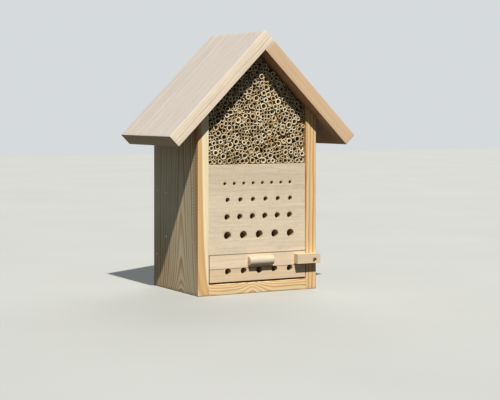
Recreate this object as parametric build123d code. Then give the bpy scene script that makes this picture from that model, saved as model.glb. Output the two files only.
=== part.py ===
from build123d import *

import math
import os
import random

import numpy as np

# Driving dimensions in millimetres. X runs along the front, +Y to the back, +Z up.
# The origin is the middle of the footprint, on the surface that the hotel stands on.
SIDE_T = 18.0  # planed pine: side boards and back panel
ROOF_T = 21.0  # roof boards
BASE_T = 16.0  # base board
INNER_W = 167.0  # clear width between the side boards
DEPTH = 155.0  # a side board, front edge to back edge
ROOF_FRONT = 22.0  # how far the roof stands out past the side boards
ROOF_LENGTH = 223.0  # outer face of the left roof board, ridge to eave
RIDGE_UNDER_Z = 364.0  # underside of the roof at the ridge
BACK_INSET = 3.0  # back panel and base board, in from the back edges
NEST_INSET = 2.5  # the nesting block's face, in from the side boards' front edges
GAP = 0.3  # clearance between loose pieces
END_GAP = 1.0  # clearance behind the drawer and in front of its runners
PAST = 1.0  # how far a cutting block runs past the wood

LID_BOTTOM_Z = 38.3
LID_TOP_Z = 59.0
NEST_BOTTOM_Z = 59.3
NEST_TOP_Z = 193.0

# The nesting block is glued up from four boards, top one first, with a row of bores in each:
# underside of the board, height of the row, how many, spacing, diameter, middle, depth
NEST_BOARDS = (
    (152.4, 164.5, 8, 16.0, 5.0, 0.5, 60.0),
    (127.4, 140.2, 6, 21.5, 7.0, 3.0, 80.0),
    (101.0, 114.7, 6, 21.5, 9.0, 2.0, 100.0),
    (NEST_BOTTOM_Z, 87.2, 5, 27.0, 12.0, 3.0, 100.0),
)

# Drawer tray: round grooves under a clear window; their mouths just break into the lid
DRAWER_HALF_W = 82.0
TRAY_BOTTOM_Z = BASE_T + GAP
TRAY_TOP_Z = LID_BOTTOM_Z - GAP
NAIL_GROOVE_TOP_Z = 18.8
NAIL_GROOVE_DEPTH = 9.0
GROOVE_D = 10.0
GROOVE_Z = 34.0
GROOVE_COUNT = 5
GROOVE_PITCH = 26.5
GROOVE_MIDDLE_X = 1.5
GROOVE_LENGTH = 112.0
WINDOW_T = 2.0
WINDOW_HALF_W = 66.0
WINDOW_FRONT = 8.0  # wood left in front of the window
WINDOW_LENGTH = 110.0
RUNNER_W = 5.5
RUNNER_H = 5.0
RUNNER_FRONT = 12.0  # the runners stop this far behind the tray's face

# Handle: a round dowel with a flat sawn along it
HANDLE_X = 2.2
HANDLE_LENGTH = 41.0
HANDLE_Z = 48.4
HANDLE_R = 7.2
HANDLE_DEPTH = 10.3  # what is left of its diameter behind the flat
HANDLE_PIN_R = 2.5
HANDLE_PIN_REACH = 6.0  # into the handle
HANDLE_PIN_LENGTH = 20.0
HANDLE_PIN_SPACING = 24.0

# Turn latch on the right side board's front edge
LATCH_LEFT_X = 62.0
LATCH_RIGHT_X = 102.6
LATCH_BOTTOM_Z = 40.5
LATCH_TOP_Z = 55.2
LATCH_CORNER_W = 4.5  # the corner taken off at the upper right
LATCH_CORNER_H = 2.6
LATCH_T = 11.0
LATCH_SCREW_Z = 45.0
LATCH_SCREW_R = 2.0
LATCH_HOLE_R = 2.05
LATCH_HEAD_R = 3.1
LATCH_HEAD_T = 2.2
LATCH_HEAD_PLAY = 0.1  # between the head and the floor of its recess
LATCH_CROSS_L = 3.6
LATCH_CROSS_W = 0.8
LATCH_CROSS_DEPTH = 1.2
LATCH_RECESS_R = 3.5
LATCH_RECESS_DEPTH = 5.0
LATCH_SCREW_REACH = 24.0  # into the side board

# Brads through the side boards, with their heights and their distances in from the edges
BRAD_R = 0.8
BRAD_HEAD_R = 1.3
BRAD_HEAD_T = 0.8
BRAD_LENGTH = 34.0
BASE_BRAD_Z = 10.0
BASE_BRAD_IN = 18.0
BLOCK_BRAD_ZS = (80.0, 147.0)
BLOCK_BRAD_FRONT_IN = 19.0
BLOCK_BRAD_BACK_IN = 45.0
BACK_BRAD_ZS = (50.0, 150.0, 240.0)

# Hidden dowels that hold the roof: half of each is in either board
DOWEL_R = 3.0
DOWEL_LENGTH = 16.0
DOWEL_IN = 25.0  # from the boards' front and back edges

# Keyhole hanger let into the back
HANGER_Z = 262.0
HANGER_W = 20.0
HANGER_H = 52.0
HANGER_T = 2.0
KEYHOLE_R = 4.5
KEYHOLE_SLOT_R = 2.3
KEYHOLE_DROP = 5.0  # the hole's middle, down from the plate's
KEYHOLE_RISE = 11.0
POCKET_W = 14.0
POCKET_H = 30.0
POCKET_DEPTH = 9.0
HANGER_SCREW_R = 1.5
HANGER_SCREW_HEAD_R = 2.6
HANGER_SCREW_LENGTH = 14.0
HANGER_SCREW_OFFSET = 21.0

# Reeds
REED_SEED = 11
REED_SKIN = 0.06  # kept clear round every stem
REED_COURSES = 20
REED_NEAR = 110  # a new stem only ever rests on one of the last this many
REED_MISSES = 60  # stems in a row that find no room before the gable counts as full
REED_LONGEST = 131.0
REED_LENGTH_SPREAD = 3.5
REED_BORE_DEPTH = 105.0
REED_SIZES = ((5.6, 6.8, 0.16), (6.8, 8.8, 0.68), (8.8, 10.8, 0.16))  # least, most, share
REED_BORES = (0.52, 0.70)  # least and most, as a share of the stem

# Planes and corners that follow from them
FRONT = (ROOF_FRONT - DEPTH) / 2
BACK = FRONT + DEPTH
ROOF_FRONT_Y = FRONT - ROOF_FRONT
NEST_Y = FRONT + NEST_INSET
DRAWER_Y = FRONT
PANEL_BACK_Y = BACK - BACK_INSET
PANEL_FRONT_Y = PANEL_BACK_Y - SIDE_T
INNER_X = INNER_W / 2
OUTER_X = INNER_X + SIDE_T
ROOT2 = math.sqrt(2)
RIDGE_TOP_Z = RIDGE_UNDER_Z + ROOF_T * ROOT2
EAVE_X = ROOF_LENGTH / ROOT2
EAVE_TOP_Z = RIDGE_TOP_Z - EAVE_X
ROOF_STEP = ROOF_T / ROOT2  # sideways and down through a roof board
LATCH_SCREW_X = INNER_X + SIDE_T / 2
LATCH_BACK_Y = FRONT - GAP
LATCH_FRONT_Y = LATCH_BACK_Y - LATCH_T


def slab(x0, x1, y0, y1, z0, z1):
    """A rectangular block between two corners."""
    middle = ((x0 + x1) / 2, (y0 + y1) / 2, (z0 + z1) / 2)
    return Pos(*middle) * Box(x1 - x0, y1 - y0, z1 - z0)


def prism(outline, y0, y1):
    """A solid with an X-Z outline, from y0 back to y1."""
    face = make_face(Polyline(*[(x, y0, z) for x, z in outline], close=True))
    return extrude(face, amount=y1 - y0, dir=(0, 1, 0))


def rod(start, direction, length, radius):
    """A round bar from start along direction."""
    return Solid.make_cylinder(radius, length, Plane(origin=start, z_dir=direction))


def brad(start, direction, length=BRAD_LENGTH):
    """A nail whose flat head is flush with the surface at start."""
    shank = rod(start, direction, length, BRAD_R)
    return (shank + rod(start, direction, BRAD_HEAD_T, BRAD_HEAD_R)).solid()


def cut(wood, *tools):
    """Wood less its holes, as one solid."""
    for tool in tools:
        wood = wood - tool
    return wood.solid()


def save(node, *solids):
    """One STEP file for a node of one or more separate solids."""
    shape = solids[0] if len(solids) == 1 else Compound(children=list(solids))
    export_step(shape, f"parts/{node}.step")


def side_brads(places):
    """Brads through both side boards at (y, z)."""
    return [brad((side * OUTER_X, y, z), (-side, 0, 0)) for side in (-1, 1) for y, z in places]


def roof_dowels():
    """Dowels square to the roof's slope, between the roof boards and the side boards."""
    middle_x = (INNER_X + OUTER_X) / 2
    reach = DOWEL_LENGTH / 2 / ROOT2
    return [
        rod(
            (side * (middle_x + reach), y, RIDGE_UNDER_Z - middle_x + reach),
            (-side, 0, -1),
            DOWEL_LENGTH,
            DOWEL_R,
        )
        for side in (-1, 1)
        for y in (FRONT + DOWEL_IN, BACK - DOWEL_IN)
    ]


def ridge_dowels():
    """Dowels from the underside of the left roof board into the upper end of the right one."""
    middle_x = ROOF_STEP / 2
    reach = DOWEL_LENGTH / 2 / ROOT2
    rows = (ROOF_FRONT_Y + DOWEL_IN, (ROOF_FRONT_Y + BACK) / 2, BACK - DOWEL_IN)
    return [
        rod(
            (middle_x - reach, y, RIDGE_UNDER_Z + middle_x + reach),
            (1, 0, -1),
            DOWEL_LENGTH,
            DOWEL_R,
        )
        for y in rows
    ]


def side_board(side):
    """A side board whose top is bevelled to the roof slope; side is -1 or 1."""
    outline = (
        (side * INNER_X, 0),
        (side * OUTER_X, 0),
        (side * OUTER_X, RIDGE_UNDER_Z - OUTER_X),
        (side * INNER_X, RIDGE_UNDER_Z - INNER_X),
    )
    return prism(outline, FRONT, BACK)


def roof_left():
    """The longer roof board, which laps over the end of the right one."""
    outline = (
        (0, RIDGE_TOP_Z),
        (ROOF_STEP, RIDGE_TOP_Z - ROOF_STEP),
        (ROOF_STEP - EAVE_X, EAVE_TOP_Z - ROOF_STEP),
        (-EAVE_X, EAVE_TOP_Z),
    )
    return prism(outline, ROOF_FRONT_Y, BACK)


def roof_right():
    """The shorter roof board, butted under the left one."""
    outline = (
        (ROOF_STEP, RIDGE_TOP_Z - ROOF_STEP),
        (EAVE_X, EAVE_TOP_Z),
        (EAVE_X - ROOF_STEP, EAVE_TOP_Z - ROOF_STEP),
        (0, RIDGE_UNDER_Z),
    )
    return prism(outline, ROOF_FRONT_Y, BACK)


def back_panel():
    """The gabled back panel between the side boards, standing on the base board."""
    outline = (
        (-INNER_X, BASE_T),
        (INNER_X, BASE_T),
        (INNER_X, RIDGE_UNDER_Z - INNER_X),
        (0, RIDGE_UNDER_Z),
        (-INNER_X, RIDGE_UNDER_Z - INNER_X),
    )
    return prism(outline, PANEL_FRONT_Y, PANEL_BACK_Y)


def nest_boards():
    """The boards of the nesting block, top one first, each with its row of blind bores."""
    half_w = INNER_X - GAP
    boards = []
    top = NEST_TOP_Z
    for bottom, height, count, spacing, diameter, middle_x, depth in NEST_BOARDS:
        board = slab(-half_w, half_w, NEST_Y, PANEL_FRONT_Y, bottom, top)
        for i in range(count):
            x = middle_x + (i - (count - 1) / 2) * spacing
            board = board - rod((x, NEST_Y, height), (0, 1, 0), depth, diameter / 2)
        boards.append(board.solid())
        top = bottom
    return boards


def grooves(length):
    """The room of the nest grooves, for this length back from the drawer's face."""
    return [
        rod(
            (GROOVE_MIDDLE_X + (i - (GROOVE_COUNT - 1) / 2) * GROOVE_PITCH, DRAWER_Y, GROOVE_Z),
            (0, 1, 0),
            length,
            GROOVE_D / 2,
        )
        for i in range(GROOVE_COUNT)
    ]


def tray():
    """The drawer's lower board: five nest grooves, a window seat and a nail groove."""
    half_w = DRAWER_HALF_W
    wood = slab(-half_w, half_w, DRAWER_Y, PANEL_FRONT_Y - END_GAP, TRAY_BOTTOM_Z, TRAY_TOP_Z)
    rebate_x = INNER_X - RUNNER_W - GAP
    for side in (-1, 1):
        low, high = sorted((side * rebate_x, side * INNER_X))
        wood = wood - slab(
            low,
            high,
            DRAWER_Y + RUNNER_FRONT - END_GAP,
            PANEL_FRONT_Y,
            LID_BOTTOM_Z - RUNNER_H - GAP,
            LID_BOTTOM_Z,
        )
    nail_groove = slab(
        -INNER_X, INNER_X, DRAWER_Y - PAST, DRAWER_Y + NAIL_GROOVE_DEPTH, 0, NAIL_GROOVE_TOP_Z
    )
    return cut(wood, *grooves(GROOVE_LENGTH), window(), nail_groove)


def window():
    """The clear sheet let flush into the top of the tray, over its grooves."""
    front = DRAWER_Y + WINDOW_FRONT
    half_w = WINDOW_HALF_W
    return slab(
        GROOVE_MIDDLE_X - half_w,
        GROOVE_MIDDLE_X + half_w,
        front,
        front + WINDOW_LENGTH,
        TRAY_TOP_Z - WINDOW_T,
        TRAY_TOP_Z,
    )


def runner(side):
    """A strip on a side board that carries one edge of the lid above the tray."""
    low, high = sorted((side * (INNER_X - RUNNER_W), side * INNER_X))
    front = DRAWER_Y + RUNNER_FRONT
    return slab(low, high, front, PANEL_FRONT_Y, LID_BOTTOM_Z - RUNNER_H, LID_BOTTOM_Z)


def lid():
    """The drawer's upper board, its underside notched by the mouths of the grooves."""
    half_w = DRAWER_HALF_W
    wood = slab(-half_w, half_w, DRAWER_Y, PANEL_FRONT_Y - END_GAP, LID_BOTTOM_Z, LID_TOP_Z)
    return cut(wood, *grooves(WINDOW_FRONT))


def handle():
    """The handle, its flat against the lid."""
    left = HANDLE_X - HANDLE_LENGTH / 2
    axis_y = DRAWER_Y - (HANDLE_DEPTH - HANDLE_R)
    dowel = rod((left, axis_y, HANDLE_Z), (1, 0, 0), HANDLE_LENGTH, HANDLE_R)
    behind = slab(
        left - PAST,
        left + HANDLE_LENGTH + PAST,
        DRAWER_Y,
        DRAWER_Y + HANDLE_R,
        HANDLE_Z - HANDLE_R,
        HANDLE_Z + HANDLE_R,
    )
    return cut(dowel, behind)


def handle_pins():
    """Two glued pins between the handle and the lid."""
    start_y = DRAWER_Y - HANDLE_PIN_REACH
    return [
        rod((HANDLE_X + offset, start_y, HANDLE_Z), (0, 1, 0), HANDLE_PIN_LENGTH, HANDLE_PIN_R)
        for offset in (-HANDLE_PIN_SPACING / 2, HANDLE_PIN_SPACING / 2)
    ]


def turn_latch():
    """The wooden latch, drilled and recessed for its screw."""
    outline = (
        (LATCH_LEFT_X, LATCH_BOTTOM_Z),
        (LATCH_RIGHT_X, LATCH_BOTTOM_Z),
        (LATCH_RIGHT_X, LATCH_TOP_Z - LATCH_CORNER_H),
        (LATCH_RIGHT_X - LATCH_CORNER_W, LATCH_TOP_Z),
        (LATCH_LEFT_X, LATCH_TOP_Z),
    )
    mouth = (LATCH_SCREW_X, LATCH_FRONT_Y, LATCH_SCREW_Z)
    hole = rod(mouth, (0, 1, 0), LATCH_T, LATCH_HOLE_R)
    recess = rod(mouth, (0, 1, 0), LATCH_RECESS_DEPTH, LATCH_RECESS_R)
    return cut(prism(outline, LATCH_FRONT_Y, LATCH_BACK_Y), hole, recess)


def latch_screw():
    """The screw that the latch turns on, with a cross in its head."""
    head_y = LATCH_FRONT_Y + LATCH_RECESS_DEPTH - LATCH_HEAD_T - LATCH_HEAD_PLAY
    start = (LATCH_SCREW_X, head_y, LATCH_SCREW_Z)
    length = FRONT + LATCH_SCREW_REACH - head_y
    screw = rod(start, (0, 1, 0), length, LATCH_SCREW_R)
    screw = screw + rod(start, (0, 1, 0), LATCH_HEAD_T, LATCH_HEAD_R)
    for width, height in ((LATCH_CROSS_L, LATCH_CROSS_W), (LATCH_CROSS_W, LATCH_CROSS_L)):
        screw = screw - Pos(*start) * Box(width, 2 * LATCH_CROSS_DEPTH, height)
    return screw.solid()


def hanger_plate():
    """A steel plate with a keyhole: a round hole with a slot rising from it."""
    plate = slab(
        -HANGER_W / 2,
        HANGER_W / 2,
        PANEL_BACK_Y,
        PANEL_BACK_Y + HANGER_T,
        HANGER_Z - HANGER_H / 2,
        HANGER_Z + HANGER_H / 2,
    )
    eye_z = HANGER_Z - KEYHOLE_DROP
    slot_z = eye_z + KEYHOLE_RISE
    eye = rod((0, PANEL_BACK_Y, eye_z), (0, 1, 0), HANGER_T, KEYHOLE_R)
    slot_end = rod((0, PANEL_BACK_Y, slot_z), (0, 1, 0), HANGER_T, KEYHOLE_SLOT_R)
    slot = slab(
        -KEYHOLE_SLOT_R,
        KEYHOLE_SLOT_R,
        PANEL_BACK_Y,
        PANEL_BACK_Y + HANGER_T,
        eye_z,
        slot_z,
    )
    return cut(plate, eye, slot_end, slot)


def hanger_pocket():
    """The room behind the keyhole for a nail's head."""
    return slab(
        -POCKET_W / 2,
        POCKET_W / 2,
        PANEL_BACK_Y - POCKET_DEPTH,
        PANEL_BACK_Y,
        HANGER_Z - POCKET_H / 2,
        HANGER_Z + POCKET_H / 2,
    )


def hanger_screws():
    """Two flat-headed screws through the plate into the back panel."""
    screws = []
    for offset in (-HANGER_SCREW_OFFSET, HANGER_SCREW_OFFSET):
        start = (0, PANEL_BACK_Y + HANGER_T, HANGER_Z + offset)
        shank = rod(start, (0, -1, 0), HANGER_SCREW_LENGTH, HANGER_SCREW_R)
        head = rod(start, (0, -1, 0), HANGER_T / 2, HANGER_SCREW_HEAD_R)
        screws.append((shank + head).solid())
    return screws


def reed_radii(dice):
    """An endless run of stem radii, mostly middling."""
    shares = [share for _, _, share in REED_SIZES]
    while True:
        least, most, _ = dice.choices(REED_SIZES, shares)[0]
        yield dice.uniform(least, most) / 2


def resting_spots(stems, radius, floor_z, wall_x):
    """Where a stem of this radius touches two of: floor, walls, stems already laid."""
    spots = [(side * (wall_x - radius), floor_z + radius) for side in (-1, 1)]
    near = stems[-REED_NEAR:]
    for i, (x, z, other) in enumerate(near):
        reach = other + radius
        rise = floor_z + radius - z
        if abs(rise) < reach:
            run = math.sqrt(reach**2 - rise**2)
            spots += [(x - run, floor_z + radius), (x + run, floor_z + radius)]
        for side in (-1, 1):
            run = side * (wall_x - radius) - x
            if abs(run) < reach:
                spots.append((x + run, z + math.sqrt(reach**2 - run**2)))
        for x2, z2, other2 in near[:i]:
            gap = math.hypot(x2 - x, z2 - z)
            reach2 = other2 + radius
            if gap < reach + reach2:
                along = (gap**2 + reach**2 - reach2**2) / (2 * gap)
                aside = math.sqrt(max(reach**2 - along**2, 0))
                ux, uz = (x2 - x) / gap, (z2 - z) / gap
                foot_x, foot_z = x + ux * along, z + uz * along
                spots.append((foot_x - uz * aside, foot_z + ux * aside))
                spots.append((foot_x + uz * aside, foot_z - ux * aside))
    return np.array(spots)


def settle_reeds():
    """Stems laid one by one, each in the lowest free hollow, until the gable is full."""
    dice = random.Random(REED_SEED)
    floor_z = NEST_TOP_Z + GAP
    wall_x = INNER_X - GAP
    ridge_z = RIDGE_UNDER_Z - GAP * ROOT2
    stems = []
    misses = 0
    for radius in reed_radii(dice):
        spots = resting_spots(stems, radius, floor_z, wall_x)
        free = np.abs(spots[:, 0]) <= wall_x - radius + 1e-6
        free &= spots[:, 1] >= floor_z + radius - 1e-6
        free &= spots[:, 1] + np.abs(spots[:, 0]) <= ridge_z - radius * ROOT2
        if stems:
            laid = np.array(stems)
            gaps = np.hypot(spots[:, :1] - laid[:, 0], spots[:, 1:] - laid[:, 1])
            free &= (gaps >= laid[:, 2] + radius - 1e-6).all(axis=1)
        if free.any():
            x, z = min(spots[free].tolist(), key=lambda spot: spot[1])
            stems.append((x, z, radius))
        else:
            misses += 1
        if misses > REED_MISSES:
            return stems


def reed(x, z, radius, dice):
    """A hollow stem, open at the front and closed by its joint at the back."""
    outer = radius - REED_SKIN
    length = REED_LONGEST - dice.uniform(0, REED_LENGTH_SPREAD)
    front = PANEL_FRONT_Y - GAP - length
    stem = rod((x, front, z), (0, 1, 0), length, outer)
    return stem.cut(rod((x, front, z), (0, 1, 0), REED_BORE_DEPTH, outer * dice.uniform(*REED_BORES)))


def reed_courses():
    """All the stems, sorted into courses from the bottom up."""
    dice = random.Random(REED_SEED + 1)
    stems = sorted(settle_reeds(), key=lambda stem: stem[1])
    solids = [reed(x, z, radius, dice).solid() for x, z, radius in stems]
    print(len(stems), "reeds")
    ends = [round(i * len(solids) / REED_COURSES) for i in range(REED_COURSES + 1)]
    return [solids[low:high] for low, high in zip(ends, ends[1:])]


def save_case():
    """The boards, the nesting block and the brads and dowels that hold them."""
    base_ys = (FRONT + BASE_BRAD_IN, (FRONT + BACK) / 2, BACK - BASE_BRAD_IN)
    block_ys = (FRONT + BLOCK_BRAD_FRONT_IN, BACK - BLOCK_BRAD_BACK_IN)
    panel_y = (PANEL_FRONT_Y + PANEL_BACK_Y) / 2
    base_nails = side_brads([(y, BASE_BRAD_Z) for y in base_ys])
    block_nails = side_brads([(y, z) for y in block_ys for z in BLOCK_BRAD_ZS])
    back_nails = side_brads([(panel_y, z) for z in BACK_BRAD_ZS])
    side_nails = base_nails + block_nails + back_nails
    roof_pegs = roof_dowels()
    ridge_pegs = ridge_dowels()
    base = slab(-INNER_X, INNER_X, FRONT, PANEL_BACK_Y, 0, BASE_T)

    save("left_side", cut(side_board(-1), *side_nails, *roof_pegs))
    save("right_side", cut(side_board(1), *side_nails, *roof_pegs, latch_screw()))
    save("base_board", cut(base, *base_nails))
    save("back_panel", cut(back_panel(), *back_nails, hanger_pocket(), *hanger_screws()))
    save("roof_left", cut(roof_left(), *roof_pegs, *ridge_pegs))
    save("roof_right", cut(roof_right(), *roof_pegs, *ridge_pegs))
    for number, board in enumerate(nest_boards(), start=1):
        save(f"nest_board_{number}", cut(board, *block_nails))
    save("base_brads", *base_nails)
    save("block_brads", *block_nails)
    save("back_brads", *back_nails)
    save("roof_dowels", *roof_pegs)
    save("ridge_dowels", *ridge_pegs)


def save_drawer():
    """The drawer's tray, window and lid, with the strips and the handle."""
    pins = handle_pins()
    save("drawer_tray", tray())
    save("tray_window", window())
    save("drawer_lid", cut(lid(), *pins))
    save("lid_runner_left", runner(-1))
    save("lid_runner_right", runner(1))
    save("lid_handle", cut(handle(), *pins))
    save("handle_pins", *pins)


def save_fittings():
    """The latch on the front and the hanger on the back."""
    save("turn_latch", turn_latch())
    save("latch_screw", latch_screw())
    save("hanger_plate", cut(hanger_plate(), *hanger_screws()))
    save("hanger_screws", *hanger_screws())


os.makedirs("parts", exist_ok=True)
save_case()
save_drawer()
save_fittings()
for number, course in enumerate(reed_courses(), start=1):
    save(f"reed_course_{number:02d}", *course)
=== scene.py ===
"""Insect hotel: the looks of its boards, reed stems, drilled block, drawer and latch."""
import math
import random

import bmesh
import bpy
import numpy as np
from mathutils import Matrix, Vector, geometry, noise


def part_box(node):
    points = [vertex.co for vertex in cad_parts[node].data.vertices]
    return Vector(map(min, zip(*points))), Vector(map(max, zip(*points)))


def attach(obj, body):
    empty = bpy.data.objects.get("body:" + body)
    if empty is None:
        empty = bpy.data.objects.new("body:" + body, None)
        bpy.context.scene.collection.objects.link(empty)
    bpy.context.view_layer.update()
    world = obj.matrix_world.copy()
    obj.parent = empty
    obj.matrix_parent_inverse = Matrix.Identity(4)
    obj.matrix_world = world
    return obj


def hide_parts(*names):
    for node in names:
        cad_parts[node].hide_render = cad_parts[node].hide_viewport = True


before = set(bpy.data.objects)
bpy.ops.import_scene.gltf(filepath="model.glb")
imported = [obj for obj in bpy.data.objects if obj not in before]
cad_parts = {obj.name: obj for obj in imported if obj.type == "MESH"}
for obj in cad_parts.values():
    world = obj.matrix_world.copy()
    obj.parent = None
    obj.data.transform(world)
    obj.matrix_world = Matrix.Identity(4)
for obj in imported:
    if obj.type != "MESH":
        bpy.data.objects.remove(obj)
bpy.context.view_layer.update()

MM = 0.001
ROOT2 = math.sqrt(2)
SLOPE = 1 / ROOT2  # the roof falls at 45 degrees
X, Y, Z = (1, 0, 0), (0, 1, 0), (0, 0, 1)

# Where things are, from the frame
FRONT_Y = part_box("left_side")[0].y
BACK_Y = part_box("right_side")[1].y
INNER_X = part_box("right_side")[0].x
OUTER_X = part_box("right_side")[1].x
RIDGE_TOP_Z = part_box("roof_left")[1].z
RIDGE_UNDER_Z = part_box("back_panel")[1].z
ROOF_T = (RIDGE_TOP_Z - RIDGE_UNDER_Z) / ROOT2
ROOF_FRONT_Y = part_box("roof_left")[0].y
NEST_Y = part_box("nest_board_1")[0].y
NEST_TOP_BOARD_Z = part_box("nest_board_1")[0].z
LID_BOTTOM_Z, LID_TOP_Z = (corner.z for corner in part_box("drawer_lid"))


# -------- shader graphs

def srgb(red, green, blue):
    """An sRGB colour out of 255 as linear RGBA."""
    parts = [c / 255 for c in (red, green, blue)]
    linear = [c / 12.92 if c <= 0.04045 else ((c + 0.055) / 1.055) ** 2.4 for c in parts]
    return (*linear, 1.0)


class Graph:
    """A material with short calls for the nodes that this scene uses."""

    def __init__(self, name):
        self.material = bpy.data.materials.new(name)
        self.material.use_nodes = True
        self.tree = self.material.node_tree
        self.shader = self.tree.nodes["Principled BSDF"]

    def put(self, socket, value):
        """Link an output into a socket, or set its constant."""
        if isinstance(value, bpy.types.NodeSocket):
            self.tree.links.new(value, socket)
        elif socket.type == "VECTOR":
            socket.default_value = value[:3]
        else:
            socket.default_value = value

    def set(self, **values):
        """Set the shader's own sockets by name, spaces written as underscores."""
        for name, value in values.items():
            self.put(self.shader.inputs[name.replace("_", " ")], value)

    def math(self, operation, *values, clamp=False):
        node = self.tree.nodes.new("ShaderNodeMath")
        node.operation = operation
        node.use_clamp = clamp
        for socket, value in zip(node.inputs, values):
            self.put(socket, value)
        return node.outputs[0]

    def linear(self, value, by, plus, clamp=False):
        """value * by + plus."""
        return self.math("MULTIPLY_ADD", value, by, plus, clamp=clamp)

    def product(self, first, *others):
        """All the values multiplied, in their order."""
        for value in others:
            first = self.math("MULTIPLY", first, value)
        return first

    def place(self):
        """The point's place in the frame, in metres."""
        return self.tree.nodes.new("ShaderNodeTexCoord").outputs["Object"]

    def along(self, vector, axis, offset=0.0):
        """How far a point lies along an axis, less offset."""
        node = self.tree.nodes.new("ShaderNodeVectorMath")
        node.operation = "DOT_PRODUCT"
        self.put(node.inputs[0], vector)
        node.inputs[1].default_value = axis
        return self.math("SUBTRACT", node.outputs["Value"], offset)

    def axes(self, point):
        """The point's x, y and z."""
        return [self.along(point, axis) for axis in (X, Y, Z)]

    def facing(self, axis, least):
        """1 where the surface faces this way by at least this much."""
        normal = self.tree.nodes.new("ShaderNodeNewGeometry").outputs["Normal"]
        return self.math("GREATER_THAN", self.along(normal, axis), least)

    def attribute(self, name):
        """A number that each face of the mesh keeps."""
        node = self.tree.nodes.new("ShaderNodeAttribute")
        node.attribute_name = name
        return node.outputs["Fac"]

    def vector(self, x, y, z):
        node = self.tree.nodes.new("ShaderNodeCombineXYZ")
        for socket, value in zip(node.inputs, (x, y, z)):
            self.put(socket, value)
        return node.outputs[0]

    def stretched(self, parts, *scales):
        """Three distances as a point, each times a scale of its own."""
        return self.vector(*(self.math("MULTIPLY", part, by) for part, by in zip(parts, scales)))

    def noise(self, vector, scale=1.0, detail=2.0, roughness=0.5):
        """Noise from 0 to 1 about a middle of 0.5."""
        node = self.tree.nodes.new("ShaderNodeTexNoise")
        self.put(node.inputs["Vector"], vector)
        node.inputs["Scale"].default_value = scale
        node.inputs["Detail"].default_value = detail
        node.inputs["Roughness"].default_value = roughness
        return node.outputs["Fac"]

    def waver(self, vector, scale=1.0, detail=2.0, roughness=0.5):
        """Noise about a middle of 0."""
        return self.math("SUBTRACT", self.noise(vector, scale, detail, roughness), 0.5)

    def ramp(self, factor, *stops):
        """A colour ramp; each stop is (position, value or colour)."""
        node = self.tree.nodes.new("ShaderNodeValToRGB")
        self.put(node.inputs["Fac"], factor)
        ramp = node.color_ramp
        while len(ramp.elements) < len(stops):
            ramp.elements.new(1.0)
        for element, (position, colour) in zip(ramp.elements, stops):
            element.position = position
            element.color = colour if isinstance(colour, tuple) else (colour,) * 3 + (1.0,)
        return node.outputs["Color"]

    def mix(self, factor, first, second, blend="MIX"):
        node = self.tree.nodes.new("ShaderNodeMix")
        node.data_type = "RGBA"
        node.blend_type = blend
        self.put(node.inputs["Factor"], factor)
        self.put(node.inputs[6], first)
        self.put(node.inputs[7], second)
        return node.outputs[2]

    def scaled(self, colour, factor):
        """A colour times a number."""
        node = self.tree.nodes.new("ShaderNodeVectorMath")
        node.operation = "SCALE"
        self.put(node.inputs[0], colour)
        self.put(node.inputs["Scale"], factor)
        return node.outputs[0]

    def bump(self, height, distance, strength=1.0):
        node = self.tree.nodes.new("ShaderNodeBump")
        node.inputs["Strength"].default_value = strength
        node.inputs["Distance"].default_value = distance
        self.put(node.inputs["Height"], height)
        self.put(self.shader.inputs["Normal"], node.outputs["Normal"])


RESIN = srgb(207, 163, 105)
# painted shade: the colour of faces that look down is multiplied by this
UNDERSIDE_SHADE = srgb(212, 196, 176)
GREY_WOOD = srgb(196, 187, 179)
GROOVE_W = 10 * MM
ARCH_HALF_W = 75 * MM  # how far from its middle a cathedral arch still shows


def grain_space(graph, grain, across, pith):
    """Distances along the grain and, from the pith, along the two directions across it."""
    third = Vector(grain).cross(Vector(across))
    point = graph.place()
    a = graph.along(point, grain)
    u = graph.along(point, across, Vector(pith).dot(Vector(across)))
    v = graph.along(point, third, Vector(pith).dot(third))
    return a, u, v


def ring_radius(graph, u, v, drift, wave):
    """Distance from the pith line, made to wander by wave, in mm."""
    squares = graph.math("ADD", graph.math("POWER", u, 2.0), graph.math("POWER", v, 2.0))
    wander = graph.product(drift, wave * MM * 2)
    return graph.math("ADD", graph.math("SQRT", squares), wander)


def taper(graph, a, v, climb, climb_from):
    """How much further out the rings lie, up the trunk, near the middle of a face."""
    rise = graph.math("MAXIMUM", graph.linear(a, 1 / MM, -climb_from), 1.0)
    aside = graph.math("POWER", graph.math("DIVIDE", v, ARCH_HALF_W), 2.0)
    near = graph.math("MAXIMUM", graph.math("SUBTRACT", 1.0, aside), 0.0)
    return graph.product(graph.math("LOGARITHM", rise, math.e), climb * MM, near)


def resin_years(graph, a, v, radius, rich, lateness):
    """Where resin shows, and the late wood with calm years round it and a darker rear foot.

    rich is the radius, in mm, at which the years with resin begin and at which they end.
    """
    rise, fall = 0.4, 1.2  # how fast the resin comes and goes, per mm of radius
    rear_fade = 0.04  # behind the pith, how far back the rear's look is complete
    foot_fade, foot_share = 0.07, 0.7  # the foot fades over this height, starting at this share
    calm_front, calm_rear = 0.9, 0.62  # how much of the late wood is lost there
    foot_dark = 0.24
    front = graph.math("LESS_THAN", v, 0.0)
    begins = graph.linear(radius, rise / MM, -rise * rich[0], clamp=True)
    ends = graph.linear(radius, -fall / MM, fall * rich[1], clamp=True)
    resin = graph.product(begins, ends, front)
    calm = graph.product(begins, front, graph.math("SUBTRACT", 1.0, ends), calm_front)
    rear = graph.math("MULTIPLY", v, 1 / rear_fade, clamp=True)
    aloft = graph.linear(a, 1 / foot_fade, -foot_share, clamp=True)
    rear_aloft = graph.product(rear, aloft)
    rear_foot = graph.math("SUBTRACT", rear, rear_aloft)
    calm = graph.math("MAXIMUM", calm, graph.product(rear_aloft, calm_rear))
    lateness = graph.product(lateness, graph.math("SUBTRACT", 1.0, calm))
    return resin, graph.linear(rear_foot, foot_dark, lateness)


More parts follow.
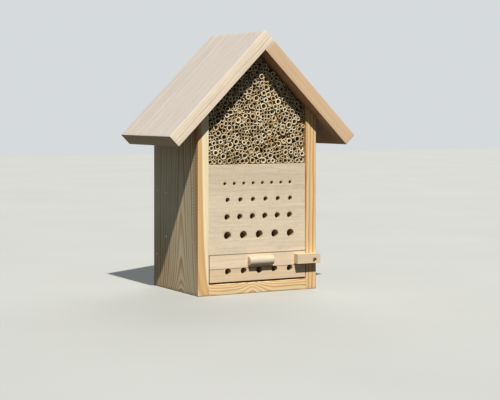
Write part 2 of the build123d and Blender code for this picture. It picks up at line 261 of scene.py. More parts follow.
def pine(name, grain, across, pith, early, late, ring=4.0, contrast=0.8, wave=3.0, climb=0.0,
         climb_from=0.0, fibre=0.10, saw=None, weather=None, rich=None, uneven=0.75, hump=None,
         under_shade=None):
    """Softwood with growth rings about a pith line: pale early wood ends in a dark late line.

    ring is the width of a year and wave how far the rings wander, both in mm. The trunk tapers,
    fast at its foot and then slowly, by climb times a logarithm of the distance from climb_from,
    so the rings cross a face as nested arches. hump is a swelling of the trunk: where, how long
    and how high. uneven is how much the late wood differs from year to year. rich is a stretch
    of years that resin has turned orange. saw is the front edge that the saw has marked.
    weather is the grey of what faces up, and the tint for what faces down is painted shade.
    """
    graph = Graph(name)
    a, u, v = grain_space(graph, grain, across, pith)
    slow = graph.stretched((a, u, v), 9.0, 30.0, 30.0)
    radius = ring_radius(graph, u, v, graph.waver(slow), wave)
    if climb:
        radius = graph.math("ADD", radius, taper(graph, a, v, climb, climb_from))
    if hump:
        where, length, high = hump
        apart = graph.linear(a, 1 / length, -where / length)
        spread = graph.math("ADD", graph.math("POWER", apart, 2.0), 1.0)
        radius = graph.math("SUBTRACT", radius, graph.math("DIVIDE", high, spread))
    turns = graph.product(radius, 1 / (ring * MM))
    year = graph.tree.nodes.new("ShaderNodeTexWhiteNoise")
    year.noise_dimensions = "1D"
    graph.put(year.inputs["W"], graph.math("FLOOR", turns))
    strength = graph.linear(year.outputs["Value"], uneven, 1.0 - uneven)
    line = graph.ramp(
        graph.math("FRACT", turns),
        (0.0, 0.3), (0.07, 0.0), (0.42, 0.05), (0.66, 0.6), (0.88, 1.0), (1.0, 0.45),
    )
    lateness = graph.product(line, strength, contrast)
    if rich:
        resin, lateness = resin_years(graph, a, v, radius, rich, lateness)
    hair = graph.waver(graph.stretched((a, u, v), 28.0, 1500.0, 1500.0), 1.0, 3.0, 0.6)
    broad = graph.waver(slow, 2.3, 3.0)
    speckle = graph.waver(graph.place(), 800.0)
    colour = graph.mix(lateness, early, late)
    if rich:
        colour = graph.mix(graph.product(resin, 0.82), colour, RESIN)
    shade = graph.linear(broad, fibre * 1.6, 1.0)
    shade = graph.linear(hair, fibre * 4, shade)
    shade = graph.linear(speckle, 0.16, shade)
    height = graph.linear(lateness, 0.5, graph.product(hair, 0.9))
    if saw:
        marks = saw_marks(graph, saw)
        shade = graph.linear(marks, -0.34, shade)
        height = graph.linear(marks, -1.2, height)
    colour = graph.scaled(colour, shade)
    if weather:
        amount = graph.product(graph.facing(Z, 0.15), 0.9)
        streaks = graph.linear(lateness, -0.42, 1.08)
        streaks = graph.linear(hair, 0.8, streaks)
        colour = graph.mix(amount, colour, graph.scaled(weather, streaks))
    # painted shade: faces that look down are darkened by the underside colour
    if under_shade:
        colour = graph.mix(graph.facing((0, 0, -1), 0.3), colour, under_shade, "MULTIPLY")
    rough = graph.linear(hair, 0.25, 0.62)
    graph.set(Base_Color=colour, Roughness=rough, Specular_IOR_Level=0.3)
    graph.bump(height, 0.12 * MM, 0.7)
    return graph.material


def saw_marks(graph, edge_y):
    """Fine level marks of the saw across a side board near its front edge."""
    pitch, edge_w = 2.1 * MM, 0.4 * MM
    reach, fade = 46 * MM, 30 * MM  # how far back the marks go, the last of it fading
    point = graph.place()
    y, z = graph.along(point, Y), graph.along(point, Z)
    wobble = graph.noise(graph.vector(graph.product(y, 20.0), 0.0, graph.product(z, 40.0)))
    turns = graph.linear(z, 1 / pitch, graph.product(wobble, 3.0))
    marks = graph.ramp(graph.math("PINGPONG", turns, 0.5), (0.1, 0.0), (0.42, 1.0))
    patch = graph.noise(graph.vector(y, 0.0, z), 14.0, 1.0)
    patch = graph.linear(patch, 2.4, -0.3, clamp=True)
    near = graph.linear(y, -1 / fade, (edge_y + reach) / fade, clamp=True)
    mask = graph.product(near, patch, graph.math("GREATER_THAN", y, edge_y + edge_w))
    return graph.product(marks, mask)


def beech(name, grain, across, pith, tint, dark, wave, ring=7.0, contrast=0.14, speckled=0.22,
          seams=(), boards=()):
    """Close, even hardwood: barely seen rings, short flecks, soft bands and a warm mottle.

    seams are heights at which the piece meets another, where a thin line of painted shade stands
    for the shadow in the gap. boards are the heights where a board of a glued block begins, with
    how much darker it is than the one below.
    """
    seam_half_w = 0.8 * MM
    graph = Graph(name)
    parts = a, u, v = grain_space(graph, grain, across, pith)

    def figure(along, aside, detail=2.0, roughness=0.5):
        """Wavering noise, stretched along the grain."""
        return graph.waver(graph.stretched(parts, along, aside, aside), 1.0, detail, roughness)

    radius = ring_radius(graph, u, v, figure(12.0, 26.0), wave)
    phase = graph.math("FRACT", graph.math("DIVIDE", radius, ring * MM))
    line = graph.ramp(phase, (0.0, 0.1), (0.3, 0.0), (0.7, 0.25), (0.93, 1.0), (1.0, 0.2))
    close = graph.noise(graph.stretched(parts, 260.0, 1500.0, 1500.0), 1.0, 2.0, 0.55)
    dashes = graph.ramp(close, (0.55, 0.0), (0.70, 1.0))
    streaks = figure(16.0, 420.0, 4.0, 0.6)
    bands = figure(4.0, 75.0)
    mottle = figure(60.0, 120.0, 3.0)
    speckle = graph.waver(graph.place(), 900.0)
    flecks = graph.product(dashes, 0.16)
    amount = graph.linear(line, contrast, flecks, clamp=True)
    colour = graph.mix(amount, tint, dark)
    shade = graph.linear(mottle, 0.16, 1.0)
    shade = graph.linear(streaks, 0.30, shade)
    shade = graph.linear(speckle, speckled, shade)
    shade = graph.linear(bands, 0.24, shade)
    height = graph.along(graph.place(), Z)
    for start, darker in boards:
        above = graph.math("GREATER_THAN", height, start)
        shade = graph.product(shade, graph.linear(above, -darker, 1.0))
    # painted shade: a thin dark line at each seam, for the shadow in the gap
    for seam in seams:
        apart = graph.math("ABSOLUTE", graph.math("SUBTRACT", height, seam))
        seam_shade = graph.linear(apart, -1 / seam_half_w, 1.15, clamp=True)
        shade = graph.product(shade, graph.linear(seam_shade, -0.6, 1.0))
    rough = graph.linear(dashes, 0.1, 0.55)
    graph.set(Base_Color=graph.scaled(colour, shade), Roughness=rough, Specular_IOR_Level=0.3)
    pores = graph.product(dashes, -0.5)
    graph.bump(graph.linear(streaks, 0.6, pores), 0.07 * MM, 0.6)
    return graph.material


def drilled(name, face_y, fade=0.0):
    """The walls of bores: plain wood at the mouth, with painted shade that darkens them further in.

    Each face keeps the width of its bore. fade is the stretch over which the painted shade
    lessens again, further along a groove.
    """
    shade_rise, shade_start = 1.8, 0.25  # both in bore widths
    mouth_wood, shaded_wood = srgb(188, 165, 133), srgb(170, 144, 116)
    graph = Graph(name)
    point = graph.place()
    x, z = graph.along(point, X), graph.along(point, Z)
    y = graph.along(point, Y, face_y)
    torn = graph.waver(graph.stretched((x, y, z), 300.0, 2500.0, 300.0), 1.0, 3.0)
    widths_in = graph.math("DIVIDE", y, graph.attribute("width"))
    # painted shade: the walls darken with depth, counted in bore widths
    shade_amount = graph.linear(widths_in, shade_rise, -shade_rise * shade_start, clamp=True)
    if fade:
        shade_fade = graph.linear(y, 1 / fade, -0.4, clamp=True)
        shade_amount = graph.product(shade_amount, graph.linear(shade_fade, -0.85, 1.0))
    colour = graph.mix(shade_amount, mouth_wood, shaded_wood)
    shade = graph.linear(torn, 0.5, 1.0)
    graph.set(Base_Color=graph.scaled(colour, shade), Roughness=0.8)
    graph.bump(torn, 0.1 * MM, 0.5)
    return graph.material


def reed_skin():
    """Outside and cut ends of the stems; each stem has a tone of its own."""
    graph = Graph("reed_skin")
    point = graph.place()
    x, y, z = graph.axes(point)
    stripes = graph.waver(graph.stretched((x, y, z), 1300.0, 60.0, 1300.0))
    spots = graph.waver(point, 420.0)
    colour = graph.ramp(
        graph.attribute("tone"),
        (0.0, srgb(118, 97, 66)),
        (0.2, srgb(150, 128, 94)),
        (0.45, srgb(178, 157, 122)),
        (0.7, srgb(202, 185, 152)),
        (0.88, srgb(226, 214, 188)),
        (1.0, srgb(212, 206, 190)),
    )
    golden = graph.noise(graph.vector(x, 0.0, z), 55.0, 2.0)
    golden = graph.product(graph.ramp(golden, (0.5, 0.0), (0.68, 1.0)), 0.7)
    colour = graph.mix(golden, colour, srgb(238, 210, 160), "MULTIPLY")
    shade = graph.linear(spots, 0.4, 1.03)
    shade = graph.linear(stripes, 0.5, shade)
    graph.set(Base_Color=graph.scaled(colour, shade), Roughness=0.5, Specular_IOR_Level=0.4)
    graph.bump(graph.math("ADD", stripes, spots), 0.1 * MM, 0.6)
    return graph.material


def reed_bore():
    """The inside of a stem: golden brown with long streaks."""
    graph = Graph("reed_bore")
    lengthways = graph.stretched(graph.axes(graph.place()), 900.0, 70.0, 900.0)
    streaks = graph.noise(lengthways)
    dark, middle, pale = srgb(126, 104, 68), srgb(176, 146, 96), srgb(206, 182, 138)
    colour = graph.ramp(graph.attribute("tone"), (0.0, dark), (0.5, middle), (1.0, pale))
    shade = graph.linear(streaks, 0.8, 0.55)
    graph.set(Base_Color=graph.scaled(colour, shade), Roughness=0.7, Specular_IOR_Level=0.2)
    graph.bump(streaks, 0.1 * MM, 0.5)
    return graph.material


def reed_pith():
    """Dry pith or mud that stops a stem near its mouth."""
    graph = Graph("reed_pith")
    point = graph.place()
    crumbs = graph.noise(point, 1400.0, 4.0, 0.7)
    patches = graph.noise(point, 160.0, 1.0)
    colour = graph.ramp(patches, (0.35, srgb(164, 146, 92)), (0.65, srgb(206, 192, 144)))
    shade = graph.linear(crumbs, 0.8, 0.55)
    graph.set(Base_Color=graph.scaled(colour, shade), Roughness=0.9)
    graph.bump(crumbs, 0.3 * MM, 0.8)
    return graph.material


def steel(name, tint, stain):
    """Plated steel with faint scuffs and a little dulling."""
    graph = Graph(name)
    point = graph.place()
    lengthways = graph.stretched(graph.axes(point), 3000.0, 3000.0, 500.0)
    scuffs = graph.noise(lengthways, 1.0, 3.0)
    dull = graph.ramp(graph.noise(point, 500.0, 3.0), (0.45, 0.0), (0.7, 1.0))
    graph.set(
        Base_Color=graph.mix(dull, tint, stain),
        Metallic=1.0,
        Roughness=graph.linear(scuffs, 0.3, 0.22),
    )
    graph.bump(scuffs, 0.03 * MM, 0.5)
    return graph.material


def acrylic():
    """Clear sheet with a faint haze of fine scratches."""
    graph = Graph("acrylic")
    haze = graph.noise(graph.place(), 900.0, 3.0)
    graph.set(
        Base_Color=(0.95, 0.98, 0.97, 1.0),
        Transmission_Weight=0.95,
        IOR=1.49,
        Roughness=graph.linear(haze, 0.08, 0.02),
    )
    graph.bump(haze, 0.01 * MM, 0.3)
    return graph.material


def floor_paint():
    """A plain pale floor that throws little light back up, like the dark ground of a garden."""
    graph = Graph("floor_paint")
    cloud = graph.noise(graph.place(), 3.0, 2.0)
    pale = graph.ramp(cloud, (0.3, srgb(176, 177, 174)), (0.7, srgb(180, 181, 178)))
    bounce = graph.tree.nodes.new("ShaderNodeLightPath").outputs["Is Diffuse Ray"]
    graph.set(Base_Color=graph.mix(bounce, pale, srgb(40, 40, 38)), Roughness=0.9)
    return graph.material


# Each wood: its grain, the direction across it, its pith line, and its pale and dark colours
MATERIALS = {
    "left_side": pine(
        "pine_left", Z, X, (-0.1199, -0.009, 0), srgb(238, 222, 186), srgb(170, 118, 62),
        ring=4.3, wave=1.6, climb=5.0, climb_from=-4.7, saw=FRONT_Y, contrast=1.0,
        rich=(64.0, 73.8),
    ),
    "right_side": pine(
        "pine_right", Z, X, (0.130, 0.004, 0), srgb(226, 195, 146), srgb(180, 118, 54),
        ring=2.9, wave=1.8, climb=4.0, climb_from=-20.0, saw=FRONT_Y, contrast=1.0, uneven=0.3,
    ),
    "base": pine(
        "pine_base", X, Z, (0, -0.052, -0.004), srgb(233, 207, 162), srgb(192, 134, 72),
        ring=3.5, wave=5.0, climb=1.5, climb_from=-90.0, contrast=1.0, uneven=0.4,
        hump=(-0.010, 0.016, 0.009),
    ),
    "back": pine(
        "pine_back", Z, X, (0.02, 0.115, 0), srgb(228, 206, 162), srgb(186, 138, 84),
        ring=5.0, wave=4.0, climb=6.0, climb_from=-30.0,
    ),
    "roof_left": pine(
        "pine_roof_left", (SLOPE, 0, SLOPE), Y, (0.05, 0.05, 0.26),
        srgb(230, 215, 195), srgb(186, 152, 114),
        ring=2.9, contrast=0.5, wave=1.6, fibre=0.19, weather=GREY_WOOD, under_shade=UNDERSIDE_SHADE,
    ),
    "roof_right": pine(
        "pine_roof_right", (SLOPE, 0, -SLOPE), Y, (-0.04, 0.12, 0.27),
        srgb(209, 180, 147), srgb(184, 148, 110),
        ring=4.2, contrast=0.30, wave=2.0, fibre=0.06, weather=GREY_WOOD,
        under_shade=srgb(222, 206, 190),
    ),
    "block": beech(
        "beech_block", X, Z, (0, 0.03, -0.06), srgb(217, 201, 178), srgb(180, 150, 118),
        wave=10.0, ring=6.0, contrast=0.2, speckled=0.4, seams=(LID_TOP_Z,),
        boards=((NEST_TOP_BOARD_Z, 0.11),),
    ),
    "lid": beech(
        "beech_lid", X, Z, (0, 0.05, 0.14), srgb(226, 206, 178), srgb(190, 158, 122),
        wave=3.0, seams=(LID_TOP_Z, LID_BOTTOM_Z),
    ),
    "tray": beech(
        "beech_tray", X, Z, (0, -0.03, -0.03), srgb(216, 192, 161), srgb(184, 150, 114),
        wave=3.0, contrast=0.2, seams=(LID_BOTTOM_Z,),
    ),
    "block_bore": drilled("block_bore", NEST_Y),
    "groove": drilled("tray_groove", FRONT_Y, fade=30 * MM),
    "latch": beech(
        "beech_latch", X, Z, (0.05, -0.03, 0.02), srgb(214, 193, 164), srgb(184, 152, 118),
        wave=2.0,
    ),
    "handle": beech(
        "dowel_wood", X, Z, (0, -0.04, 0.03), srgb(205, 191, 168), srgb(182, 160, 132),
        wave=2.0, ring=3.0,
    ),
    "reed": reed_skin(),
    "bore": reed_bore(),
    "pith": reed_pith(),
    "zinc": steel("zinc", srgb(178, 178, 172), srgb(120, 116, 108)),
    "bronzed": steel("bronzed", srgb(176, 154, 126), srgb(120, 100, 78)),
    "nail": steel("nail_steel", srgb(206, 204, 198), srgb(150, 132, 108)),
    "acrylic": acrylic(),
}


# -------- mesh tools

def add_piece(name, verts, faces, *materials, smooth=True):
    """A mesh object from plain lists, in the frame's metres."""
    mesh = bpy.data.meshes.new(name)
    mesh.from_pydata([tuple(v) for v in verts], [], faces)
    mesh.validate()
    for material in materials:
        mesh.materials.append(material)
    mesh.polygons.foreach_set("use_smooth", [smooth] * len(mesh.polygons))
    piece = bpy.data.objects.new(name, mesh)
    bpy.context.scene.collection.objects.link(piece)
    return piece


def outward(piece):
    """Merge doubled points and turn the faces outwards."""
    bm = bmesh.new()
    bm.from_mesh(piece.data)
    bmesh.ops.remove_doubles(bm, verts=bm.verts, dist=1e-7)
    bmesh.ops.recalc_face_normals(bm, faces=bm.faces)
    bm.to_mesh(piece.data)
    bm.free()
    return piece


def stand_for(piece, body, slot, *nodes):
    """The piece rides with its body in place of the CAD nodes."""
    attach(piece, body)
    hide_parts(*nodes)


BOARD_STEP = 5 * MM  # between the points of a board's faces


def stations(length, radius):
    """Places along one side of a board: close together on its rounded edges."""
    inner = max(2, round((length - 2 * radius) / BOARD_STEP))
    middle = [radius + (length - 2 * radius) * i / inner for i in range(inner + 1)]
    edge = [0.0, radius * 0.3, radius * 0.65]
    return edge + middle + [length - e for e in reversed(edge)]


def soft_board(name, size, place, material, radius=0.8 * MM, wear=0.25 * MM, seed=0):
    """A sawn board: rounded edges, a slightly uneven surface, and edges worn here and there.

    place turns a point of the plain board, from (0, 0, 0) to size, into its place in the frame.
    radius rounds the edges, wear is how deep they are worn, and seed makes the board differ.
    """
    uneven_depth = 0.12 * MM
    lines = [stations(length, radius) for length in size]
    counts = [len(line) - 1 for line in lines]
    verts, index = [], {}

    def corner(i, j, k):
        key = (i, j, k)
        if key not in index:
            index[key] = len(verts)
            verts.append(Vector((lines[0][i], lines[1][j], lines[2][k])))
        return index[key]

    faces = []
    for axis in range(3):
        one, two = [n for n in range(3) if n != axis]
        for side in (0, counts[axis]):
            for p in range(counts[one]):
                for q in range(counts[two]):
                    quad = []
                    for dp, dq in ((0, 0), (1, 0), (1, 1), (0, 1)):
                        key = [0, 0, 0]
                        key[axis], key[one], key[two] = side, p + dp, q + dq
                        quad.append(corner(*key))
                    faces.append(quad)
    shift = Vector((seed * 3.7, seed * 1.3, seed * 2.1))
    placed = []
    for point in verts:
        core = Vector([min(max(c, radius), size[n] - radius) for n, c in enumerate(point)])
        away = point - core
        near_edge = sum(abs(c) > radius * 0.5 for c in away) > 1
        away.normalize()
        uneven = noise.noise(point * 35 + shift) * 0.5 + 0.5
        worn = max(0.0, noise.noise(point * 90 + shift * 2) - 0.1) if near_edge else 0.0
        placed.append(place(core + away * (radius - uneven * uneven_depth - worn * wear * 2)))
    return outward(add_piece(name, placed, faces, material))


def drilled_board(name, low, high, holes, materials, seed):
    """A board with blind holes in its front: (x, z, radius, depth). materials: wood, hole walls."""
    radius = 0.5 * MM  # of the board's edges
    grid = 4 * MM  # between the points of its front
    mouth = 0.30 * MM  # how far a hole widens at its mouth
    clear = 1.2 * MM  # kept free of grid points round a hole
    outline = ring_of_box(low, high, radius, grid)
    points = [Vector(p) for p in outline]
    edges = [(i, (i + 1) % len(outline)) for i in range(len(outline))]
    rims = []
    for x, z, hole_r, _ in holes:
        first = len(points)
        sides = max(20, int(hole_r / MM * 7))
        for i in range(sides):
            angle = 2 * math.pi * i / sides
            cos, sin = math.cos(angle), math.sin(angle)
            torn = noise.noise(Vector((x * 900 + 1.6 * cos, z * 900 + 1.6 * sin, seed)))
            r = (hole_r + mouth) * (1 + 0.035 * torn)
            points.append(Vector((x + r * cos, z + r * sin)))
        rims.append(list(range(first, first + sides)))
        edges += [(first + i, first + (i + 1) % sides) for i in range(sides)]
    for x in np.arange(low.x + grid, high.x - grid / 2, grid):
        for z in np.arange(low.z + grid, high.z - grid / 2, grid):
            if all(math.hypot(x - h[0], z - h[1]) > h[2] + clear for h in holes):
                points.append(Vector((x, z)))
    flat, _, triangles, origin, _, _ = geometry.delaunay_2d_cdt(points, edges, [], 0, 1e-7)
    where = {old: new for new, olds in enumerate(origin) for old in olds}
    verts = [Vector((p.x, low.y + relief(p, seed), p.y)) for p in flat]
    faces = []
    for triangle in triangles:
        middle = sum((flat[i] for i in triangle), Vector((0, 0))) / len(triangle)
        if all(math.hypot(middle.x - h[0], middle.y - h[1]) > h[2] + mouth * 0.6 for h in holes):
            faces.append(list(triangle))

    def ring(places, previous):
        first = len(verts)
        verts.extend(places)
        count = len(places)
        for i in range(count):
            j = (i + 1) % count
            faces.append([previous[i], previous[j], first + j, first + i])
        return list(range(first, first + count))

    widths = [0.0] * len(faces)
    for (x, z, hole_r, depth), rim in zip(holes, rims):
        last = [where[i] for i in rim]
        count = len(rim)
        turns = [2 * math.pi * i / count for i in range(count)]
        lip = (hole_r + mouth * 0.25, mouth * 0.35)
        for r, y in (lip, (hole_r, mouth), (hole_r, depth * 0.5), (hole_r, depth)):
            circle = [Vector((x + r * math.cos(t), low.y + y, z + r * math.sin(t))) for t in turns]
            last = ring(circle, last)
        verts.append(Vector((x, low.y + depth, z)))
        faces += [[last[i], last[(i + 1) % count], len(verts) - 1] for i in range(count)]
        widths += [2 * hole_r] * (len(faces) - len(widths))
    last = [where[i] for i in range(len(outline))]
    for inset, y in ((0.3 * radius, low.y + 0.12 * radius), (0.0, low.y + radius),
                     (0.0, high.y - radius), (radius, high.y)):
        last = ring([Vector((x, y, z)) for x, z in ring_of_box(low, high, inset, grid)], last)
    faces.append(last)
    widths += [0.0] * (len(faces) - len(widths))
    piece = add_piece(name, verts, faces, *materials)
    piece.data.polygons.foreach_set("material_index", [int(width > 0) for width in widths])
    keep_numbers(piece.data, "width", widths)
    return outward(piece)


def keep_numbers(mesh, name, values):
    """Give each face a number that its material can read."""
    mesh.attributes.new(name, "FLOAT", "FACE").data.foreach_set("value", values)


def relief(point, seed):
    """A planed face is not quite flat: a few hundredths of a millimetre, never proud."""
    return (noise.noise(Vector((point.x * 25, point.y * 60, seed))) * 0.5 + 0.5) * 0.10 * MM


def ring_of_box(low, high, inset, grid):
    """Points round a board's front outline, the same number for any inset."""
    x0, x1, z0, z1 = low.x + inset, high.x - inset, low.z + inset, high.z - inset
    across = max(2, round((high.x - low.x) / grid))
    up = max(2, round((high.z - low.z) / grid))
    bottom = [(x0 + (x1 - x0) * i / across, z0) for i in range(across)]
    right = [(x1, z0 + (z1 - z0) * i / up) for i in range(up)]
    top = [(x1 - (x1 - x0) * i / across, z1) for i in range(across)]
    left = [(x0, z1 - (z1 - z0) * i / up) for i in range(up)]
    return bottom + right + top + left


def merged(node):
    """A CAD node's mesh with its doubled points merged."""
    bm = bmesh.new()
    bm.from_mesh(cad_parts[node].data)
    bmesh.ops.remove_doubles(bm, verts=bm.verts, dist=2e-6)
    return bm


def softened(node, name, material, width=0.25 * MM):
    """A copy of a CAD node with its edges broken to this width."""
    level, corner = math.radians(1), math.radians(35)
    bm = merged(node)
    bmesh.ops.dissolve_limit(bm, angle_limit=level, verts=bm.verts, edges=bm.edges)
    sharp = [e for e in bm.edges if len(e.link_faces) == 2 and e.calc_face_angle() > corner]
    bmesh.ops.bevel(
        bm, geom=sharp, offset=width, segments=2, profile=0.6, affect="EDGES", clamp_overlap=True
    )
    bmesh.ops.recalc_face_normals(bm, faces=bm.faces)
    mesh = bpy.data.meshes.new(name)
    bm.to_mesh(mesh)
    bm.free()
    mesh.materials.clear()
    mesh.materials.append(material)
    piece = bpy.data.objects.new(name, mesh)
    bpy.context.scene.collection.objects.link(piece)
    return piece


# -------- the boards

def side_boards():
    """Two side boards whose tops follow the roof's slope."""
    size = (OUTER_X - INNER_X, BACK_Y - FRONT_Y, RIDGE_UNDER_Z - INNER_X)
    for node, side in (("left_side", -1), ("right_side", 1)):
        def place(point, side=side):
            x = INNER_X + point.x
            return Vector((side * x, FRONT_Y + point.y, point.z * (RIDGE_UNDER_Z - x) / size[2]))
        board = soft_board(node + "_board", size, place, MATERIALS[node], seed=side + 2)
        stand_for(board, "house", "pine_side", node)


def roof_boards():
    """The left board laps over the upper end of the right one."""
    depth = BACK_Y - ROOF_FRONT_Y
    eave_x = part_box("roof_right")[1].x
    for node, side, skip in (("roof_left", -1, 0.0), ("roof_right", 1, ROOF_T)):
        def place(point, side=side, skip=skip):
            slope = (point.x + skip) / ROOT2
            inward = point.z / ROOT2
            x, z = side * (slope - inward), RIDGE_TOP_Z - slope - inward
            return Vector((x, ROOF_FRONT_Y + point.y, z))
        size = (eave_x * ROOT2 - skip, depth, ROOF_T)
        board = soft_board(
            node + "_board", size, place, MATERIALS[node], 0.7 * MM, wear=0.5 * MM, seed=side + 5
        )
        stand_for(board, "house", "pine_roof", node)


def base_board():
    """The floor of the house."""
    low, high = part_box("base_board")
    board = soft_board("base_board_wood", high - low, lambda p: low + p, MATERIALS["base"], seed=9)
    stand_for(board, "house", "pine_base", "base_board")


def back_panel():
    """The gabled panel: its top edges follow the roof."""
    low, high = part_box("back_panel")
    size = high - low

    def place(point):
        x = low.x + point.x
        up = point.z * (RIDGE_UNDER_Z - abs(x) - low.z) / size.z
        return Vector((x, low.y + point.y, low.z + up))

    board = soft_board("back_panel_wood", size, place, MATERIALS["back"], seed=12)
    stand_for(board, "house", "pine_back", "back_panel")


def bores_of(node):
    """Each bore in the front of a drilled board as (x, z, radius, depth), from the CAD."""
    low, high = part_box(node)
    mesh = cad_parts[node].data
    co = np.array([vert.co for vert in mesh.vertices])
    rims = co[(co[:, 1] < low.y + 0.01 * MM) & (np.abs(co[:, 0]) < high.x - MM)]
    rims = rims[(rims[:, 2] > low.z + MM) & (rims[:, 2] < high.z - MM)]
    rims = rims[np.argsort(rims[:, 0])]
    breaks = np.nonzero(np.diff(rims[:, 0]) > 2 * MM)[0] + 1
    bores = []
    for rim in np.split(rims, breaks):
        (left, right), (bottom, top) = ((rim[:, n].min(), rim[:, n].max()) for n in (0, 2))
        x, z = (left + right) / 2, (bottom + top) / 2
        radius = (right - left) / 2
        inside = np.hypot(co[:, 0] - x, co[:, 2] - z) < radius + 0.1 * MM
        bores.append((x, z, radius, co[inside, 1].max() - low.y))
    return bores


def nesting_block():
    """One smooth block for the four glued boards, with all their bores."""
    boards = sorted(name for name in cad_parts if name.startswith("nest_board_"))
    low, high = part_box(boards[-1])[0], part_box(boards[0])[1]
    bores = [bore for board in boards for bore in bores_of(board)]
    materials = MATERIALS["block"], MATERIALS["block_bore"]
    block = drilled_board("nesting_block_wood", low, high, bores, materials, seed=1)
    stand_for(block, "house", "beech", *boards)


def drawer():
    """The lid, the grooved tray, the clear window over the grooves, and the lid's runners."""
    lid = softened("drawer_lid", "drawer_lid_wood", MATERIALS["lid"], 0.4 * MM)
    stand_for(lid, "house", "beech", "drawer_lid")
    tray = softened("drawer_tray", "drawer_tray_wood", MATERIALS["tray"])
    tray.data.materials.append(MATERIALS["groove"])
    low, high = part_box("drawer_tray")
    for face in tray.data.polygons:
        low_gap, high_gap = face.center - low, high - face.center
        is_inside = min(*low_gap.xyz, *high_gap.xyz) > 0.4 * MM
        face.material_index = int(is_inside)
    keep_numbers(tray.data, "width", [GROOVE_W] * len(tray.data.polygons))
    stand_for(tray, "tray", "beech", "drawer_tray")
    sheet = softened("tray_window", "tray_window_sheet", MATERIALS["acrylic"])
    stand_for(sheet, "tray", "clear_sheet", "tray_window")
    for node in ("lid_runner_left", "lid_runner_right"):
        strip = softened(node, node + "_strip", MATERIALS["right_side"], 0.4 * MM)
        stand_for(strip, "house", "pine_side", node)


def handle():
    """A dowel with a flat against the lid, its ends sawn and softened."""
    low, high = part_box("lid_handle")
    flat_y = high.y
    middle_z = (low.z + high.z) / 2
    radius = (high.z - low.z) / 2
    centre_y = low.y + radius
    start = math.acos(min(1.0, (flat_y - centre_y) / radius))
    section = []
    count = 32
    for i in range(count + 1):
        angle = start + (2 * math.pi - 2 * start) * i / count
        section.append((centre_y + radius * math.cos(angle), radius * math.sin(angle)))
    verts, faces = [], []
    ends = ((0.0, 0.93), (0.12, 0.965), (0.35, 0.99), (0.8, 1.0))  # (mm from the end, size)
    places = [(low.x + x * MM, s) for x, s in ends]
    places += [(low.x + (high.x - low.x) * t, 1.0) for t in (0.2, 0.4, 0.6, 0.8)]
    places += [(high.x - x * MM, s) for x, s in reversed(ends)]
    for x, s in places:
        for y, z in section:
            dent = noise.noise(Vector((x * 60, y * 60, z * 60))) * 0.04 * MM
            up = middle_z + z * s - dent * (z > 0)
            verts.append(Vector((x, flat_y + (y - flat_y) * s, up)))
    per = len(section)
    for near in range(0, (len(places) - 1) * per, per):
        far = near + per
        for i in range(per):
            j = (i + 1) % per
            faces.append([near + i, near + j, far + j, far + i])
    faces.append(list(range(per)))
    faces.append([(len(places) - 1) * per + i for i in range(per)])
    piece = outward(add_piece("lid_handle_dowel", verts, faces, MATERIALS["handle"]))
    stand_for(piece, "house", "dowel", "lid_handle")


def latch():
    """The turn latch and the screw it turns on."""
    piece = softened("turn_latch", "turn_latch_wood", MATERIALS["latch"], 0.35 * MM)
    stand_for(piece, "latch", "beech", "turn_latch")
    screw = softened("latch_screw", "latch_screw_steel", MATERIALS["bronzed"], 0.15 * MM)
    stand_for(screw, "house", "zinc", "latch_screw")


def hanger():
    """The plate at the back that the house hangs from, and its screws."""
    plate = softened("hanger_plate", "hanger_plate_steel", MATERIALS["zinc"], 0.3 * MM)
    stand_for(plate, "house", "zinc", "hanger_plate")
    screws = softened("hanger_screws", "hanger_screws_steel", MATERIALS["zinc"], 0.15 * MM)
    stand_for(screws, "house", "zinc", "hanger_screws")


def kept_nodes():
    """CAD nodes whose shape is already right get their materials."""
    for node in ("base_brads", "block_brads", "back_brads"):
        wear_material(node, MATERIALS["nail"])
    for node in ("handle_pins", "roof_dowels", "ridge_dowels"):
        wear_material(node, MATERIALS["handle"])


def wear_material(node, material):
    """Give a CAD node this material all over."""
    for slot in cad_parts[node].material_slots:
        slot.material = material


# -------- the reeds

def stems_of(node):
    """Each stem of a course as (x, z, radius, bore radius, front y, back y), from the CAD."""
    bm = merged(node)
    bm.verts.ensure_lookup_table()
    seen, stems = set(), []
    for start in bm.verts:
        if start.index in seen:
            continue
        island, todo = [], [start]
        seen.add(start.index)
        while todo:
            vert = todo.pop()
            island.append(vert.co.copy())
            for edge in vert.link_edges:
                other = edge.other_vert(vert)
                if other.index not in seen:
                    seen.add(other.index)
                    todo.append(other)
        co = np.array(island)
        low, high = co.min(0), co.max(0)
        x, z = (low[0] + high[0]) / 2, (low[2] + high[2]) / 2
        rim = co[co[:, 1] < low[1] + 1e-5]
        bore = np.hypot(rim[:, 0] - x, rim[:, 2] - z).min()
        stems.append((x, z, (high[0] - low[0]) / 2, bore, low[1], high[1]))
    bm.free()
    return sorted(stems)


class Bundle:
    """Gathers many stems into one mesh, with a tone for each."""

    def __init__(self):
        self.verts, self.faces, self.slots, self.tones = [], [], [], []

    def ring(self, points):
        """Add points and return their numbers."""
        first = len(self.verts)
        self.verts.extend(points)
        return list(range(first, first + len(points)))

    def join(self, a, b, slot, tone):
        """Faces all round between two rings."""
        count = len(a)
        for i in range(count):
            self.face([a[i], a[(i + 1) % count], b[(i + 1) % count], b[i]], slot, tone)

    def face(self, corners, slot, tone):
        self.faces.append(corners)
        self.slots.append(slot)
        self.tones.append(tone)

    def finish(self, name):
        """The gathered mesh, its materials in the order of the slots."""
        materials = (MATERIALS[key] for key in ("reed", "bore", "pith"))
        piece = add_piece(name, self.verts, self.faces, *materials)
        mesh = piece.data
        mesh.polygons.foreach_set("material_index", self.slots)
        keep_numbers(mesh, "tone", self.tones)
        return piece


